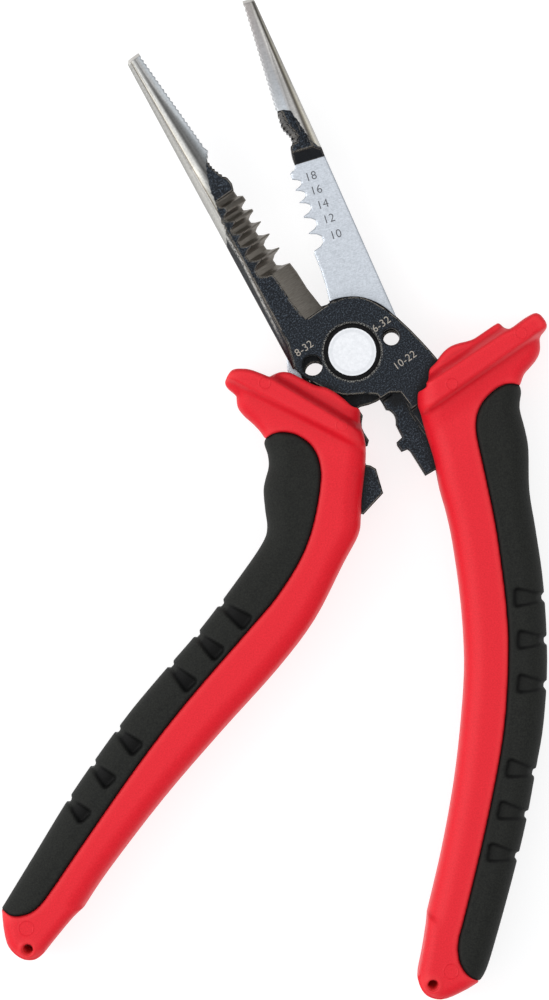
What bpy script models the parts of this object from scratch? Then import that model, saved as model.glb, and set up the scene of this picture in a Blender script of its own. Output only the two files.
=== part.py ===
"""A combination wire stripper, long-nose plier and cutter, lying flat with its pivot along Z.

Two steel levers lap at one rivet.  The front lever runs from the left jaw into the right grip,
and the rear lever from the right jaw into the left grip.  Plan outlines are in millimetres.
Jaw outlines are drawn in a lever's own frame, where +Y points along the closed jaws, and handle
outlines as the tool lies open.  Heights are measured from the plane where the levers lap.
"""

import math

import bmesh
import bpy

MM = 0.001

# Driving dimensions, in millimetres and degrees.
FRONT_TURN = 35.0        # how far the front lever's jaw is turned from +Y as the tool lies open
REAR_TURN = 17.0         # the same for the rear lever's jaw
PLATE = 5.0              # thickness of each lever at the joint, so half that of the joint
LAP = 0.15               # from the lap plane to each lever's inner face
CORE = 3.0               # half thickness of the crimping dies
TANG_DEEP = 2.8          # half thickness of the tangs
CLEAR = 0.3              # gap between neighbouring pieces
SHANK_LOW = 0.05         # a shank's outer face lies this far below the joint plate's
JAW_TIP = 75.4           # pivot to jaw tip
TIP_HALF = 1.9           # half thickness of a jaw at its tip
JAW_ROOT = 42.0          # where a jaw reaches the full thickness of the joint
STEP = 40.4              # where a jaw's inner half stops above the blade
REAR_STEP = 40.2         # the same at the rear lever's inner face
STEP_LEAN = 2.3          # how far the rear jaw's step leans along the jaw over the plate's thickness
BITE_FRONT = -0.7        # the front jaw's gripping face
BITE_REAR = -0.45        # the rear jaw's gripping face
TOOTH_PITCH = 1.05
TOOTH_DEPTH = 0.3
GRIP_TEETH_LOW = 51.4    # the jaw teeth run from here to the tip
HOLLOW_PITCH = 0.9       # finer teeth in the hollow below them
HOLLOW_TEETH = 0.3
SCOOP_LEAN = 1.9         # how far the rear jaw's hollow opens towards its front face
SCOOP_LOW = 1.2          # the heights between which that hollow opens
SCOOP_HIGH = 7.0
BLADE_HEEL = 10.9        # where the cutting edge ends at the joint plate
BEVEL_RUN = 4.4          # how far a blade's bevel runs across a lever's thickness
TANG_HALF = 4.2          # half width of a tang
SHELF = 3.9              # the front lever's ledge between its plate and its tang, beside the die
ROOT_SINK = 0.4          # how far the front die's root lies below the die's face
ROOT_LIFT = 0.05         # and how far its underside lies above the lever's inner face
RIVET_SHANK = 3.5
RIVET_HEAD = 4.9
RIVET_PROUD = 0.2        # the rivet's heads stand this far out of the joint
HEAD_DEEP = 1.6          # depth of the counterbore round a rivet head
GROOVE = 5.8             # radius of that counterbore
GRIP_HALF = 8.0          # half thickness of the moulded grips
PAD_PROUD = 0.35         # the soft pads stand this far out of the grips
PAD_THICK = 2.4          # thickness of the soft pads
COLLAR_HALF = 7.0        # half thickness of the collars round the steel
GUARD_HALF = 10.4        # half thickness of the finger guards
POCKET = 12.8            # room inside the left collar for the front lever to swing
LANYARD_HOLE = 1.1
SHEAR_LARGE = 2.1        # radii of the holes that shear screws
SHEAR_SMALL = 1.75
LARGE_AT = (-8.25, 2.4)  # their centres in the front lever's frame
SMALL_AT = (8.3, -2.05)
LARGE_OFFSET = (0.2, -1.6)   # from there to the rear lever's holes, as the tool lies open
SMALL_OFFSET = (0.0, -0.7)
NOTCH_DEEP = 1.2         # thumb notches across the pads
NOTCH_MOUTH = 0.9        # half width at the pad's outer side
NOTCH_INNER = 1.7        # half width at the inner end
NOTCH_LEAD = 2.0         # how far a notch's cutter starts outside the pad
HIGH = 20.0              # past every face, for cutters

BLACK_STEEL = ("blackened_steel", (0.035, 0.04, 0.048), 0.42, 0.9)
BRIGHT_STEEL = ("ground_steel", (0.56, 0.58, 0.6), 0.3, 1.0)
RIVET_STEEL = ("rivet_steel", (0.78, 0.78, 0.77), 0.35, 1.0)
RED_PLASTIC = ("red_plastic", (0.72, 0.02, 0.03), 0.42, 0.0)
BLACK_RUBBER = ("black_rubber", (0.02, 0.02, 0.02), 0.75, 0.0)


# Outlines ----------------------------------------------------------------------------------

def turned(points, degrees):
    """Points drawn in a lever's frame, as they lie when the tool is open."""
    cos, sin = math.cos(math.radians(degrees)), math.sin(math.radians(degrees))
    return [(x * cos - y * sin, x * sin + y * cos) for x, y in points]


def arc(centre, radius, start, end, steps):
    """Points along a circular arc, angles in degrees."""
    found = []
    for i in range(steps + 1):
        angle = math.radians(start + (end - start) * i / steps)
        found.append((centre[0] + radius * math.cos(angle), centre[1] + radius * math.sin(angle)))
    return found


def smooth(points, steps=3):
    """A curve through the points: a Catmull-Rom spline, read at steps points in each span."""
    ends = [points[0]] + list(points) + [points[-1]]
    found = []
    for before, start, end, after in zip(ends, ends[1:], ends[2:], ends[3:]):
        for i in range(steps):
            t = i / steps
            found.append(tuple(
                0.5 * (2 * b + (c - a) * t + (2 * a - 5 * b + 4 * c - d) * t * t
                       + (3 * b - a - 3 * c + d) * t * t * t)
                for a, b, c, d in zip(before, start, end, after)))
    return found + [points[-1]]


def area(points):
    return sum(a[0] * b[1] - b[0] * a[1] for a, b in zip(points, points[1:] + points[:1])) / 2


def grown(points, distance):
    """A closed outline moved outwards by a distance, or inwards by a negative one."""
    turn = 1 if area(points) > 0 else -1
    found = []
    for i, here in enumerate(points):
        before, after = points[i - 1], points[(i + 1) % len(points)]
        first = (here[0] - before[0], here[1] - before[1])
        second = (after[0] - here[0], after[1] - here[1])
        one, two = math.hypot(*first), math.hypot(*second)
        normal = (turn * (first[1] / one + second[1] / two), -turn * (first[0] / one + second[0] / two))
        square = normal[0] ** 2 + normal[1] ** 2
        scale = 2 * distance / max(square, 1.0)
        found.append((here[0] + normal[0] * scale, here[1] + normal[1] * scale))
    return found


def strip(centres, half):
    """The outline of a bar of constant width along a centre line."""
    left, right = [], []
    for i, here in enumerate(centres):
        before, after = centres[max(i - 1, 0)], centres[min(i + 1, len(centres) - 1)]
        along = (after[0] - before[0], after[1] - before[1])
        length = math.hypot(*along)
        across = (-along[1] / length * half, along[0] / length * half)
        left.append((here[0] + across[0], here[1] + across[1]))
        right.append((here[0] - across[0], here[1] - across[1]))
    return left + right[::-1]


# Blender helpers ---------------------------------------------------------------------------

def collection(name):
    made = bpy.data.collections.new(name)
    bpy.context.scene.collection.children.link(made)
    return made


def material(look):
    name, color, roughness, metallic = look
    made = bpy.data.materials.get(name)
    if made is None:
        made = bpy.data.materials.new(name)
        made.use_nodes = True
        shader = made.node_tree.nodes["Principled BSDF"]
        shader.inputs["Base Color"].default_value = (*color, 1)
        shader.inputs["Roughness"].default_value = roughness
        shader.inputs["Metallic"].default_value = metallic
    return made


def new_object(name, mesh, side):
    """A mesh object on one side of the joint, kept as a shaper until finished() takes it."""
    made = bpy.data.objects.new(name, mesh)
    made.parent = side
    made.display_type = "WIRE"
    made.hide_render = True
    shapers.objects.link(made)
    return made


def closed_mesh(body, mesh):
    """Writes a closed body into a mesh with its faces pointing out."""
    bmesh.ops.remove_doubles(body, verts=body.verts, dist=0.00001)
    bmesh.ops.recalc_face_normals(body, faces=body.faces)
    if body.calc_volume(signed=True) < 0:
        bmesh.ops.reverse_faces(body, faces=body.faces)
    body.to_mesh(mesh)
    body.free()
    return mesh


def prism(name, points, near, far, side, turn=0.0, lean=(0.0, 0.0)):
    """A flat outline carried from one height to another, leaning sideways on its way."""
    curve = bpy.data.curves.new(name, "CURVE")
    curve.dimensions = "2D"
    curve.fill_mode = "BOTH"
    curve.extrude = abs(far - near) / 2 * MM
    spline = curve.splines.new("POLY")
    spline.points.add(len(points) - 1)
    for point, (x, y) in zip(spline.points, points):
        point.co = (x * MM, y * MM, 0, 1)
    spline.use_cyclic_u = True
    flat = bpy.data.objects.new(name, curve)
    shapers.objects.link(flat)
    bpy.context.view_layer.update()
    mesh = bpy.data.meshes.new_from_object(flat.evaluated_get(bpy.context.evaluated_depsgraph_get()))
    bpy.data.objects.remove(flat)
    body = bmesh.new()
    body.from_mesh(mesh)
    for vert in body.verts:
        share = 1.0 if (vert.co.z > 0) == (far > near) else 0.0
        vert.co.x += lean[0] * share * MM
        vert.co.y += lean[1] * share * MM
        vert.co.z += (near + far) / 2 * MM
    made = new_object(name, closed_mesh(body, mesh), side)
    made.rotation_euler.z = math.radians(turn)
    return made


def post(name, steps, centre, side, turn=0.0, sides=32):
    """A stepped round post along Z, turned from its profile: (radius, low, high), lowest step first."""
    profile = [(0.0, steps[-1][2])]
    for radius, low, high in reversed(steps):
        profile += [(radius, high), (radius, low)]
    profile.append((0.0, steps[0][1]))
    body = bmesh.new()
    points = [body.verts.new((radius * MM, 0, height * MM)) for radius, height in profile]
    for upper, lower in zip(points, points[1:]):
        body.edges.new((upper, lower))
    mesh = bpy.data.meshes.new(name)
    body.to_mesh(mesh)
    body.free()
    made = new_object(name, mesh, side)
    screw = made.modifiers.new("turning", "SCREW")
    screw.steps = screw.render_steps = sides
    screw.use_merge_vertices = True
    screw.merge_threshold = 0.00001
    (x, y), = turned([centre], turn)
    made.location = (x * MM, y * MM, 0)
    made.rotation_euler.z = math.radians(turn)
    return made


def loft(name, sections, side, turn):
    """A solid through unlike sections across Y: each is (y, [(x, z), ...])."""
    body = bmesh.new()
    loops = [[body.verts.new((x * MM, y * MM, z * MM)) for x, z in outline] for y, outline in sections]
    count = len(loops[0])
    for lower, upper in zip(loops, loops[1:]):
        for i in range(count):
            j = (i + 1) % count
            body.faces.new((lower[i], lower[j], upper[j], upper[i]))
    body.faces.new(loops[0])
    body.faces.new(loops[-1])
    made = new_object(name, closed_mesh(body, bpy.data.meshes.new(name)), side)
    made.rotation_euler.z = math.radians(turn)
    return made


def rounded(obj, width, segments=2):
    """Rounds the sharp edges of a solid."""
    bevel = obj.modifiers.new("rounding", "BEVEL")
    bevel.width = width * MM
    bevel.segments = segments
    bevel.limit_method = "ANGLE"
    bevel.angle_limit = math.radians(50)
    return obj


def cut(obj, *cutters):
    for cutter in cutters:
        modifier = obj.modifiers.new("cut_" + cutter.name, "BOOLEAN")
        modifier.operation = "DIFFERENCE"
        modifier.object = cutter


def join(obj, *others):
    for other in others:
        modifier = obj.modifiers.new("join_" + other.name, "BOOLEAN")
        modifier.operation = "UNION"
        modifier.object = other


def keep_common(obj, other):
    modifier = obj.modifiers.new("common_" + other.name, "BOOLEAN")
    modifier.operation = "INTERSECT"
    modifier.object = other


def finished(obj, name, look):
    """Turns a shaper into a real piece of the tool."""
    obj.name = name
    obj.data.name = name
    shapers.objects.unlink(obj)
    pieces.objects.link(obj)
    obj.hide_render = False
    obj.display_type = "TEXTURED"
    obj.data.materials.clear()
    obj.data.materials.append(material(look))
    obj.data.shade_smooth()
    obj.data.set_sharp_from_angle(angle=math.radians(35))
    return obj


# Levers ------------------------------------------------------------------------------------

def jaw_edge(y, hand):
    """The outer edge of a jaw and shank, hand -1 for the front lever and +1 for the rear."""
    if hand < 0:
        return -3.8 - 0.1145 * (75.0 - y)
    return 2.0 + 0.131 * (74.5 - max(y, 40.0)) + 0.122 * max(40.0 - y, 0.0)


def jaw_section(y, hand):
    """The section of a jaw: half round outside, with a flat beside its gripping face."""
    along = min(max((JAW_TIP - y) / (JAW_TIP - JAW_ROOT), 0.0), 1.0)
    half = TIP_HALF + (PLATE - SHANK_LOW - TIP_HALF) * along
    outer = jaw_edge(y, hand)
    band = 0.8 + 0.7 * along
    crown = outer - hand * band
    start = hand * 1.8
    drop = (0.4 + 0.5 * along) * min(max((y - 41.5) / 8.0, 0.0), 1.0)
    upper = [(-hand * 3.0, half)]
    for i in range(5):
        t = i / 4
        upper.append((start + (crown - start) * t, half - drop * t * t))
    upper.append((outer, (half - drop) * 0.55))
    lower = [(x, -z) for x, z in reversed(upper)]
    return y, upper + lower


def jaw_blank(name, hand, side, turn):
    sections = [jaw_section(y, hand) for y in (4.0, 41.5, 43.5, 46.0, 49.5, 62.0, JAW_TIP - 0.7)]
    y, tip = jaw_section(JAW_TIP, hand)
    sections.append((y, [(x + hand * -0.5 * (abs(x) > 2.9), z * 0.75) for x, z in tip]))
    return loft(name, sections, side, turn)


def zigzag(points, pitch, depth):
    """A line with teeth: every other corner is carried sideways by a depth."""
    walk = []
    for start, end in zip(points, points[1:]):
        steps = max(round(2 * math.dist(start, end) / pitch), 1)
        for i in range(steps):
            t = i / steps
            walk.append((start[0] + (end[0] - start[0]) * t, start[1] + (end[1] - start[1]) * t))
    return [(x + depth * (i % 2), y) for i, (x, y) in enumerate(walk)] + [points[-1]]


def bite(face, hand, hollow, rest):
    """What is cleared in front of a gripping face: teeth, then the toothed hollow, then the step."""
    outline = [(-hand * 8.0, 78.0), (face, 78.0)]
    count = int((JAW_TIP - GRIP_TEETH_LOW) / TOOTH_PITCH)
    for i in range(count):
        y = JAW_TIP - 0.8 - i * TOOTH_PITCH
        outline += [(face, y), (face + hand * TOOTH_DEPTH, y - TOOTH_PITCH / 2)]
    return outline + zigzag(hollow, HOLLOW_PITCH, hand * HOLLOW_TEETH) + rest + [(-hand * 8.0, rest[-1][1])]


def blade_edge(hand, nose, tip, notches, heel):
    """What is cleared in front of a stripping and cutting edge.

    notches holds (bottom x, middle y, width) for each wire notch; tip is how far the teeth reach.
    """
    outline = [(-hand * 9.0, STEP + 0.6)] + nose
    for depth, middle, width in notches:
        outline.append((tip, middle + width / 2 + 0.28))
        outline += [(depth + (tip - depth) * 0.35, middle + width * 0.42), (depth, middle + width * 0.2),
                    (depth, middle - width * 0.2), (depth + (tip - depth) * 0.35, middle - width * 0.42)]
        outline.append((tip, middle - width / 2 - 0.28))
    return outline + heel + [(-hand * 9.0, BLADE_HEEL)]


# The front lever's outlines, in its own frame.
FRONT_PLATE = ([(-9.0, 11.4), (-4.1, BLADE_HEEL), (0.3, BLADE_HEEL), (3.5, 10.5)]
               + smooth([(5.0, 10.1), (7.5, 8.6), (9.5, 6.0), (11.6, 0.5), (12.9, -6.5), (13.4, -11.0)], 2)
               + [(14.0, -18.0), (12.0, -26.0), (4.0, -27.0), (2.8, -22.0), (2.8, -17.0), (3.4, -15.8),
                  (3.3, -12.5), (1.5, -11.3), (-0.9, -11.2)]
               + smooth([(-0.8, -10.2), (-3.0, -8.4), (-6.6, -6.2), (-9.2, -2.6), (-11.0, 1.4),
                         (-11.6, 4.2)], 2))
FRONT_DIE = (arc((0, 0), 11.9, 325, 266, 6)
             + [(-1.1, -13.7)] + smooth([(-0.6, -14.2), (-0.3, -15.3), (-0.6, -16.5), (-1.2, -17.4)], 2)
             + [(-1.6, -20.2), (-3.1, -20.4), (-3.4, -21.0), (-3.4, -22.6), (-2.1, -22.9), (-1.9, -23.6),
                (-2.2, -29.4), (6.0, -30.0), (11.4, -26.6), (13.4, -18.0), (12.7, -11.0), (12.3, -7.0)])
FRONT_DIE_ROOT = [(-0.9, -10.4), (-1.0, -13.5), (1.5, -14.5), (4.5, -13.0), (4.0, -9.0)]
FRONT_SHELF = [(1.0, -16.7), (20.0, -16.3), (20.0, -32.0), (1.0, -32.0)]
FRONT_HOLLOW = [(-0.55, 50.7), (-1.75, 49.2), (-1.75, 47.6), (-1.5, 46.4), (-0.9, 44.6), (-0.5, 43.8)]
FRONT_REST = [(-0.4, 42.3), (-0.9, 41.0), (-0.9, STEP - 0.7)]
FRONT_NOTCHES = [(-1.5, 37.0, 1.6), (-1.7, 34.1, 2.0), (-1.95, 31.2, 2.3), (-2.2, 27.9, 2.7),
                 (-2.4, 24.2, 3.1)]
FRONT_EDGE_TOP = [(-0.9, STEP + 0.6), (-0.9, 39.8), (0.1, 39.2)]
FRONT_EDGE_HEEL = [(0.2, 20.0), (0.0, 16.0), (0.3, BLADE_HEEL)]

# The rear lever's outlines, in its own frame.
REAR_PLATE = (arc((0, 0), 11.3, 262, 385, 14)
              + [(9.7, 8.0), (9.0, 13.0), (-1.0, 13.0), (-3.5, 10.8)]
              + smooth([(-7.5, 9.6), (-10.5, 7.2), (-12.6, 4.2), (-13.7, 0.5), (-13.8, -6.0)], 2)
              + [(-13.6, -12.0), (-6.0, -12.6)])
REAR_DIE = (arc((0, 0), 11.9, 205, 260, 6)
            + smooth([(-1.7, -13.1), (-2.6, -15.4), (-1.97, -18.3)], 3)
            + [(-2.6, -19.3), (-4.0, -19.5), (-4.0, -22.9), (-3.2, -23.3), (-2.3, -24.3), (-2.35, -29.5),
               (-7.5, -32.5), (-12.0, -30.0), (-14.0, -20.0), (-13.3, -8.0)])
REAR_HOLLOW = [(-0.4, 50.6), (-0.4, 48.2), (0.25, 46.9), (0.8, 45.9), (0.75, 44.6), (0.2, 43.8)]
REAR_REST = [(0.0, 42.3), (0.0, 40.0), (-0.4, STEP - 1.2)]
REAR_SCOOP = [(-0.6, 51.3), (-0.3, 48.4), (0.6, 46.4), (0.9, 45.4), (0.6, 44.4)]
REAR_SCOOP_OUTSIDE = [(-8.0, 44.4), (-8.0, 51.3)]
REAR_NOTCHES = [(0.2, 36.4, 1.6), (0.3, 33.85, 2.0), (0.6, 31.05, 2.3), (0.75, 27.65, 2.7),
                (1.0, 24.0, 3.1)]
REAR_EDGE_TOP = [(-0.4, STEP + 0.6), (-0.4, 39.4), (-1.4, 38.8)]
REAR_EDGE_HEEL = [(-1.5, 21.7), (-1.2, 18.0), (-1.15, 15.0), (-1.4, BLADE_HEEL)]

# The tangs' centre lines, as the tool lies open.
FRONT_TANG = [(20.0, -9.0), (22.8, -18.0), (25.8, -32.0), (28.3, -50.0), (29.3, -66.0), (28.8, -80.0),
              (26.5, -95.0), (23.4, -109.0)]
REAR_TANG = [(-7.5, -15.0), (-7.0, -26.0), (-8.0, -36.0), (-12.5, -46.0), (-20.5, -57.5), (-31.0, -70.0),
             (-41.8, -83.0), (-52.0, -97.0), (-57.4, -104.5)]


def blade_room(name, hand, outline, side, turn):
    """What is cleared in front of a bevelled blade: its outline is true at the lever's inner face."""
    rate = hand * BEVEL_RUN / (PLATE - LAP)
    past = 1.0
    outline = [(x - rate * past, y) for x, y in outline]
    return prism(name, outline, -hand * (LAP - past), -hand * (PLATE + past), side, turn,
                 (rate * (PLATE - LAP + 2 * past), 0))


def lap_area(top):
    """The ground that a lever's inner half is cleared from, up to a height along the jaws."""
    return [(-25, -40), (25, -40), (25, top), (-25, top)]


def bores(name, side, front):
    """The rivet's bore through a lever, with the counterbore for its head."""
    if front:
        steps = [(RIVET_SHANK + CLEAR, -HIGH, PLATE - HEAD_DEEP), (GROOVE, PLATE - HEAD_DEEP, HIGH)]
    else:
        steps = [(GROOVE, -HIGH, HEAD_DEEP - PLATE), (RIVET_SHANK + CLEAR, HEAD_DEEP - PLATE, HIGH)]
    return post(name, steps, (0, 0), side)


def front_lever(side):
    turn = FRONT_TURN
    lever = jaw_blank("front_jaw", -1, side, turn)
    join(lever, prism("front_plate", FRONT_PLATE, -LAP, PLATE, side, turn))
    cut(lever,
        prism("front_lap", lap_area(STEP), LAP, -HIGH, side, turn),
        prism("front_shelf", FRONT_SHELF, SHELF, HIGH, side, turn),
        prism("front_bite", bite(BITE_FRONT, -1, FRONT_HOLLOW, FRONT_REST), -HIGH, HIGH, side, turn),
        blade_room("front_blade", -1, blade_edge(-1, FRONT_EDGE_TOP, 0.1, FRONT_NOTCHES, FRONT_EDGE_HEEL),
                   side, turn))
    join(lever,
         prism("front_die", FRONT_DIE, -CORE, CORE, side, turn),
         prism("front_die_root", FRONT_DIE_ROOT, LAP + ROOT_LIFT, CORE - ROOT_SINK, side, turn),
         prism("front_tang", strip(FRONT_TANG, TANG_HALF), -TANG_DEEP, TANG_DEEP, side))
    cut(lever,
        bores("front_bores", side, True),
        post("large_shear_hole", [(SHEAR_LARGE, -HIGH, HIGH)], LARGE_AT, side, turn, 20),
        post("small_shear_hole", [(SHEAR_SMALL, -HIGH, HIGH)], SMALL_AT, side, turn, 20))
    return finished(lever, "front_lever", BLACK_STEEL)


def rear_lever(side):
    turn = REAR_TURN
    lever = jaw_blank("rear_jaw", 1, side, turn)
    join(lever, prism("rear_plate", REAR_PLATE, -PLATE, LAP, side, turn))
    cut(lever,
        prism("rear_lap", lap_area(REAR_STEP), -LAP, HIGH, side, turn, (0, STEP_LEAN * HIGH / PLATE)),
        prism("rear_bite", bite(BITE_REAR, 1, REAR_HOLLOW, REAR_REST), -HIGH, HIGH, side, turn),
        prism("rear_scoop", zigzag(REAR_SCOOP, HOLLOW_PITCH, HOLLOW_TEETH) + REAR_SCOOP_OUTSIDE,
              SCOOP_LOW, SCOOP_HIGH, side, turn, (SCOOP_LEAN, 0)),
        blade_room("rear_blade", 1, blade_edge(1, REAR_EDGE_TOP, -1.35, REAR_NOTCHES, REAR_EDGE_HEEL),
                   side, turn))
    join(lever,
         prism("rear_die", REAR_DIE, -CORE, CORE, side, turn),
         prism("rear_tang", strip(REAR_TANG, TANG_HALF), -TANG_DEEP, TANG_DEEP, side))
    large, small = turned(turned([LARGE_AT, SMALL_AT], FRONT_TURN), -REAR_TURN)
    cut(lever,
        bores("rear_bores", side, False),
        post("large_rear_hole", [(SHEAR_LARGE, -HIGH, HIGH)],
             (large[0] + LARGE_OFFSET[0], large[1] + LARGE_OFFSET[1]), side, turn, 20),
        post("small_rear_hole", [(SHEAR_SMALL, -HIGH, HIGH)],
             (small[0] + SMALL_OFFSET[0], small[1] + SMALL_OFFSET[1]), side, turn, 20))
    return finished(lever, "rear_lever", BRIGHT_STEEL)


def pivot_rivet(side):
    top = PLATE + RIVET_PROUD
    floor = PLATE - HEAD_DEEP + CLEAR
    rivet = post("rivet", [(RIVET_HEAD, -top, -floor), (RIVET_SHANK, -floor, floor), (RIVET_HEAD, floor, top)],
                 (0, 0), side)
    return finished(rivet, "pivot_rivet", RIVET_STEEL)


# Grips -------------------------------------------------------------------------------------

# Outlines of the handles as the tool lies open, from the guard down the inner side, round the
# end and up the outer side, then the seam between grip and pad, the guard and the collar.
LEFT_HANDLE = (smooth([(2.7, -17.2), (2.8, -21.0), (2.5, -25.0), (1.9, -30.4), (1.8, -34.0), (-1.9, -43.5),
                       (-7.7, -54.8), (-15.4, -65.0), (-26.9, -77.8), (-38.6, -91.4), (-49.8, -106.0),
                       (-54.8, -113.7), (-61.1, -120.6), (-64.8, -124.2), (-67.8, -124.0), (-71.0, -119.0),
                       (-71.9, -113.7), (-65.3, -103.3), (-57.4, -90.4), (-47.4, -76.2), (-31.2, -56.9),
                       (-22.3, -45.0), (-17.5, -36.5), (-18.1, -28.5), (-17.2, -22.5), (-17.8, -17.8),
                       (-23.3, -11.5)], 2)
               + [(-24.8, -7.5)])
LEFT_SEAM = smooth([(-19.5, -17.0), (-14.6, -16.4), (-8.8, -18.8), (-6.5, -24.5), (-7.5, -33.1),
                    (-11.5, -44.0), (-20.0, -55.5), (-33.8, -71.5), (-43.5, -84.0), (-54.8, -100.2),
                    (-61.9, -110.6), (-66.5, -115.0), (-71.0, -114.8)], 2)
LEFT_OUTSIDE = [(-84.0, -112.0), (-40.0, -45.0), (-27.0, -20.0)]
LEFT_GUARD = [(2.7, -17.0), (2.9, -20.0), (-17.3, -9.4), (-23.9, -8.9), (-25.8, -7.2), (-25.6, -5.0),
              (-24.4, -3.8), (-22.7, -3.5), (-20.8, -3.7), (-18.8, -4.5), (-16.7, -5.4)]
LEFT_COLLAR = [(-9.0, -12.0), (-17.0, -8.0), (-16.5, -4.8), (-15.6, -4.4), (-14.2, -4.0), (-12.7, -4.3),
               (-8.8, -6.3), (-7.5, -7.0), (-5.4, -7.2), (-3.5, -8.3), (0.0, -11.2), (1.5, -11.5),
               (1.6, -14.2), (2.0, -15.8), (2.6, -18.0)]
LEFT_NOTCHES = [((-26.9, -51.5), (-21.2, -55.5)), ((-31.9, -57.7), (-27.0, -62.0)),
                ((-37.2, -64.0), (-32.7, -68.5)), ((-48.2, -77.2), (-43.7, -81.4)),
                ((-53.2, -84.2), (-49.2, -88.2)), ((-58.0, -91.5), (-54.3, -95.3))]
LEFT_HOLE = (-66.3, -122.1)

RIGHT_HANDLE = (smooth([(14.0, -10.5), (15.7, -18.4), (18.0, -28.0), (20.7, -39.2), (22.3, -50.7),
                        (23.1, -63.0), (22.5, -74.5), (21.0, -87.8), (18.5, -101.7), (15.4, -114.8),
                        (14.4, -122.8), (13.5, -128.0), (14.6, -131.0), (18.0, -132.5), (22.0, -131.0),
                        (26.0, -128.7), (28.3, -123.6), (32.7, -108.2), (36.3, -93.2), (38.9, -78.4),
                        (40.0, -63.0), (39.2, -48.0), (36.3, -28.4), (36.1, -19.5), (34.2, -11.5),
                        (34.5, -6.8), (37.4, -2.2)], 2)
                + [(38.5, 2.0)])
RIGHT_SEAM = smooth([(36.0, -6.9), (31.5, -6.6), (26.5, -10.5), (25.3, -15.5), (27.2, -25.3),
                     (30.4, -43.0), (31.9, -61.1), (30.9, -78.0), (27.3, -97.1), (23.1, -114.8),
                     (21.7, -121.5), (23.1, -126.5), (26.5, -129.2)], 2)
RIGHT_OUTSIDE = [(36.0, -132.0), (50.0, -70.0), (44.0, -7.0)]
RIGHT_GUARD = [(14.3, -13.2), (13.8, -8.0), (31.8, 4.3), (34.5, 6.2), (36.5, 7.5), (38.0, 7.7), (39.1, 6.5),
               (39.6, 5.1), (39.2, 3.8), (38.0, 2.6)]
RIGHT_COLLAR = [(14.5, -11.0), (30.0, 0.0), (33.0, 4.5), (30.7, 5.1), (29.7, 5.8), (28.4, 5.1),
                (26.5, 3.7), (24.5, 2.4), (21.1, 1.5), (19.5, 0.7), (18.2, -0.5), (17.4, -1.8),
                (15.7, -3.8), (15.6, -5.9), (15.1, -6.5), (13.4, -7.9), (13.3, -10.0)]
RIGHT_NOTCHES = [((39.6, -50.2), (33.0, -50.2)), ((40.1, -59.0), (33.7, -58.8)),
                 ((40.1, -68.2), (33.7, -67.7)), ((37.8, -86.1), (31.6, -85.1)),
                 ((36.2, -94.8), (30.1, -93.9)), ((34.1, -103.2), (28.1, -102.5))]
RIGHT_HOLE = (16.5, -129.4)


def notch(name, mouth, inner, side):
    """A thumb notch across a pad, narrow at the pad's outer side and wide at its inner end."""
    along = (inner[0] - mouth[0], inner[1] - mouth[1])
    length = math.hypot(*along)
    ux, uy = along[0] / length, along[1] / length
    outside = (mouth[0] - NOTCH_LEAD * ux, mouth[1] - NOTCH_LEAD * uy)
    outline = [(outside[0] + NOTCH_MOUTH * uy, outside[1] - NOTCH_MOUTH * ux),
               (inner[0] + NOTCH_INNER * uy, inner[1] - NOTCH_INNER * ux),
               (inner[0] - NOTCH_INNER * uy, inner[1] + NOTCH_INNER * ux),
               (outside[0] - NOTCH_MOUTH * uy, outside[1] + NOTCH_MOUTH * ux)]
    top = GRIP_HALF + PAD_PROUD
    return [prism(name + "_front", outline, top - NOTCH_DEEP, HIGH, side),
            prism(name + "_back", outline, -HIGH, NOTCH_DEEP - top, side)]


def socket(name, plate, die, tang, low, high, side, turn):
    """The room a grip leaves for its lever."""
    room = prism(name + "_plate", grown(plate, CLEAR), low - CLEAR, high + CLEAR, side, turn)
    join(room,
         prism(name + "_die", grown(die, CLEAR), -CORE - CLEAR, CORE + CLEAR, side, turn),
         prism(name + "_tang", grown(strip(tang, TANG_HALF), CLEAR), -TANG_DEEP - CLEAR, TANG_DEEP + CLEAR,
               side))
    return room


def grip(name, side, handle, seam, outside, guard, collar, hole, room):
    """A rigid moulded grip: a handle rebated for its pad, with a finger guard and a collar."""
    body = rounded(prism(name + "_handle", grown(handle, -0.3), -GRIP_HALF, GRIP_HALF, side), 3.2, 3)
    pad_room = prism(name + "_pad_room", grown(seam + outside, CLEAR), -HIGH, HIGH, side)
    core = rounded(prism(name + "_core", grown(handle, -PAD_THICK - CLEAR), PAD_THICK - GRIP_HALF,
                         GRIP_HALF - PAD_THICK, side), 2.0, 2)
    cut(body, pad_room)
    join(body, core,
         rounded(prism(name + "_guard", guard, -GUARD_HALF, GUARD_HALF, side), 1.2, 2),
         rounded(prism(name + "_collar", collar, -COLLAR_HALF, COLLAR_HALF, side), 0.8, 1))
    cut(body, post(name + "_hole", [(LANYARD_HOLE, -HIGH, HIGH)], hole, side, 0, 12), room)
    return finished(body, name, RED_PLASTIC)


def pad(name, side, handle, seam, outside, notches):
    """A soft pad moulded round the outer side of a grip."""
    half = GRIP_HALF + PAD_PROUD
    body = rounded(prism(name + "_shell", handle, -half, half, side), 3.2, 3)
    keep_common(body, prism(name + "_reach", seam + outside, -HIGH, HIGH, side))
    cut(body, rounded(prism(name + "_hollow", grown(handle, -PAD_THICK), PAD_THICK - GRIP_HALF - CLEAR,
                            GRIP_HALF - PAD_THICK + CLEAR, side), 2.0, 2))
    for i, (mouth, inner) in enumerate(notches):
        cut(body, *notch(f"{name}_notch_{i + 1}", mouth, inner, side))
    return finished(body, name, BLACK_RUBBER)


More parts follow.
